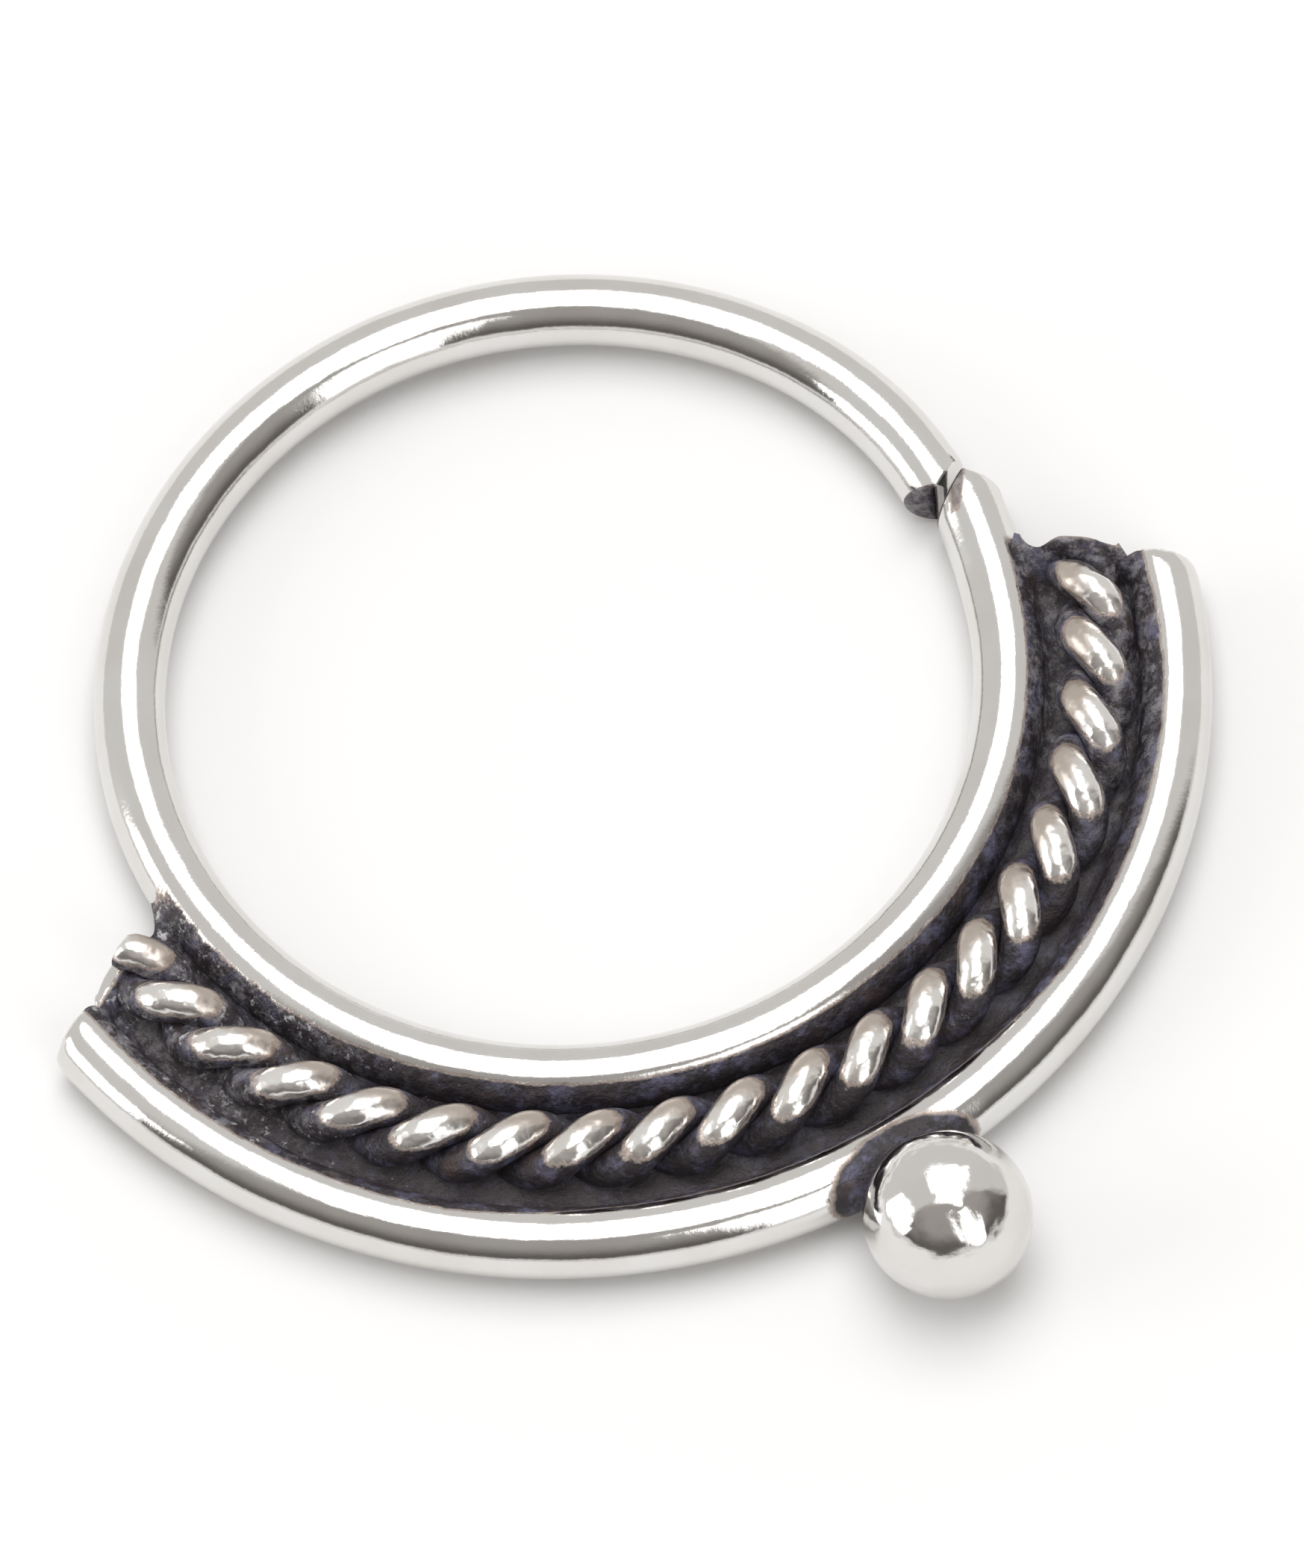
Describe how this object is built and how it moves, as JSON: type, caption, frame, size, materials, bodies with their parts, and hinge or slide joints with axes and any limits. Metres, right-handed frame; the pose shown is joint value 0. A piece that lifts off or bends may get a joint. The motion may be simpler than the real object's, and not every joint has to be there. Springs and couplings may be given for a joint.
{
  "type": "septum ring",
  "caption": "Round wire loop with a slit, and a crescent panel along its front that carries a twisted wire, a round edge wire and a soldered ball; worn through the nose's septum.",
  "frame": {"origin": "centre of the round wearing hole, in the mid-plane of the ring wire", "axes": "+Z along the wearing hole's axis, from the flat back to the decorated front; -Y towards the middle of the crescent panel; the slit is on the +X side"},
  "size_m": [0.014, 0.0143, 0.0018],
  "materials": {
    "silver": "polished silver",
    "oxidised_silver": "blackened silver, satin"
  },
  "bodies": {
    "root": {"septum_ring": "silver"}
  },
  "joints": []
}
